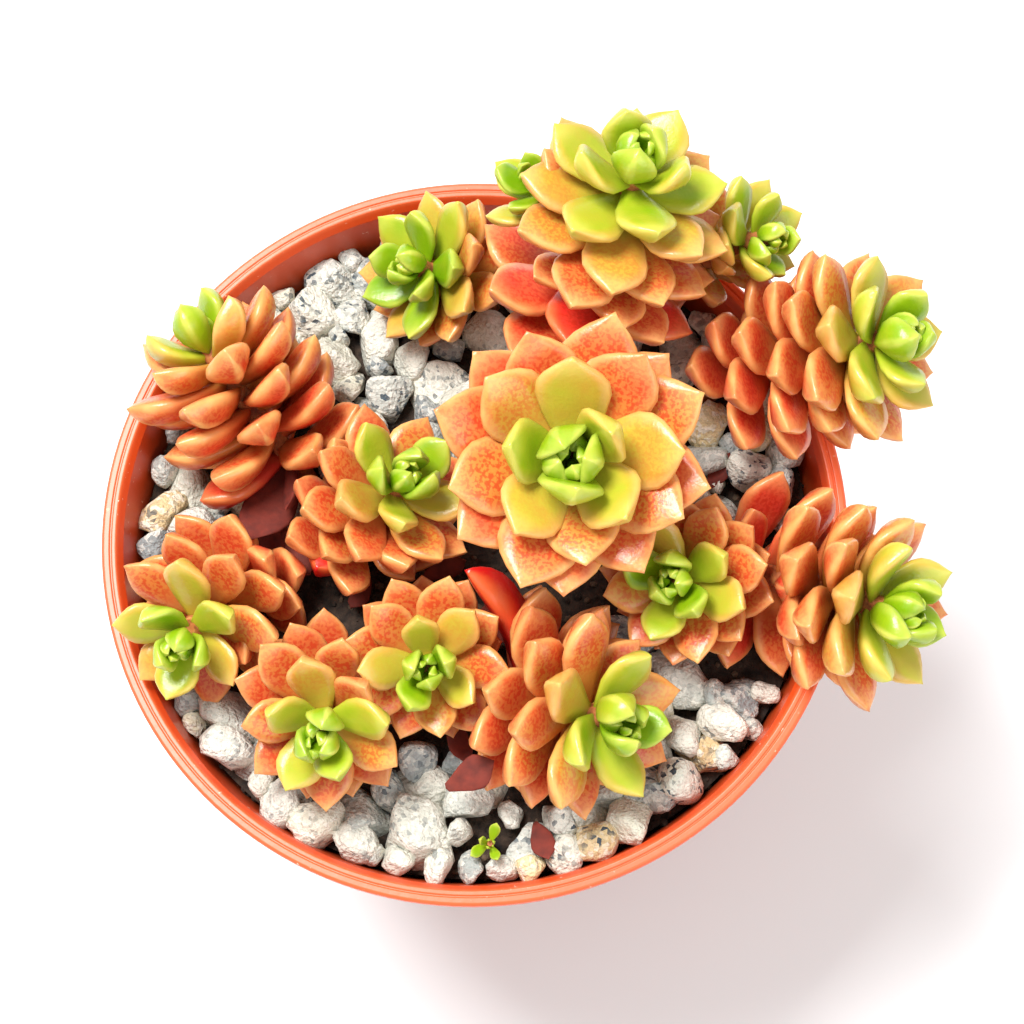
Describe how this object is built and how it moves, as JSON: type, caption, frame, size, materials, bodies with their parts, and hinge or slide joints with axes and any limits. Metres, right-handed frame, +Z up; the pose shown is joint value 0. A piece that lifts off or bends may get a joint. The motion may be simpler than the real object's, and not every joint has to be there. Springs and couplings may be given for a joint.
{
  "type": "potted little gem cremnosedum",
  "caption": "Clump of small fleshy succulent rosettes on short leaning stems, grown in a round plastic nursery pot topped with pale gravel.",
  "frame": {"origin": "middle of the pot's underside, on the surface it stands on", "axes": "+Z up the pot's axis, +Y to the back, away from the side the plant is seen from, +X to the right"},
  "size_m": [0.1011, 0.0909, 0.1117],
  "materials": {
    "pot": "terracotta orange moulded plastic with a soft sheen",
    "soil": "dark crumbly potting mix",
    "gravel": "pale grey and cream grit with dark flecks, rough and dry",
    "leaf": "fleshy skin, green at the heart through yellow to orange and red on the outer leaves, waxy sheen",
    "young_leaf": "fleshy green skin with a waxy sheen",
    "dry_leaf": "papery, wrinkled, dark red brown"
  },
  "bodies": {
    "root": {"pot": "pot", "potting_soil": "soil", "gravel": "gravel", "rosette_middle": "leaf", "rosette_back_tall": "leaf", "rosette_right_high": "leaf", "rosette_front_middle": "leaf", "rosette_middle_right": "leaf", "rosette_right_low": "leaf", "rosette_left_high": "leaf", "rosette_front_left": "leaf", "rosette_front": "leaf", "rosette_left_low": "leaf", "rosette_middle_left": "leaf", "rosette_back_left": "leaf", "rosette_back_right": "leaf", "seedling": "young_leaf", "dry_leaf_by_rim": "dry_leaf", "dry_leaf_front": "dry_leaf", "dry_leaf_front_right": "dry_leaf"}
  },
  "joints": []
}
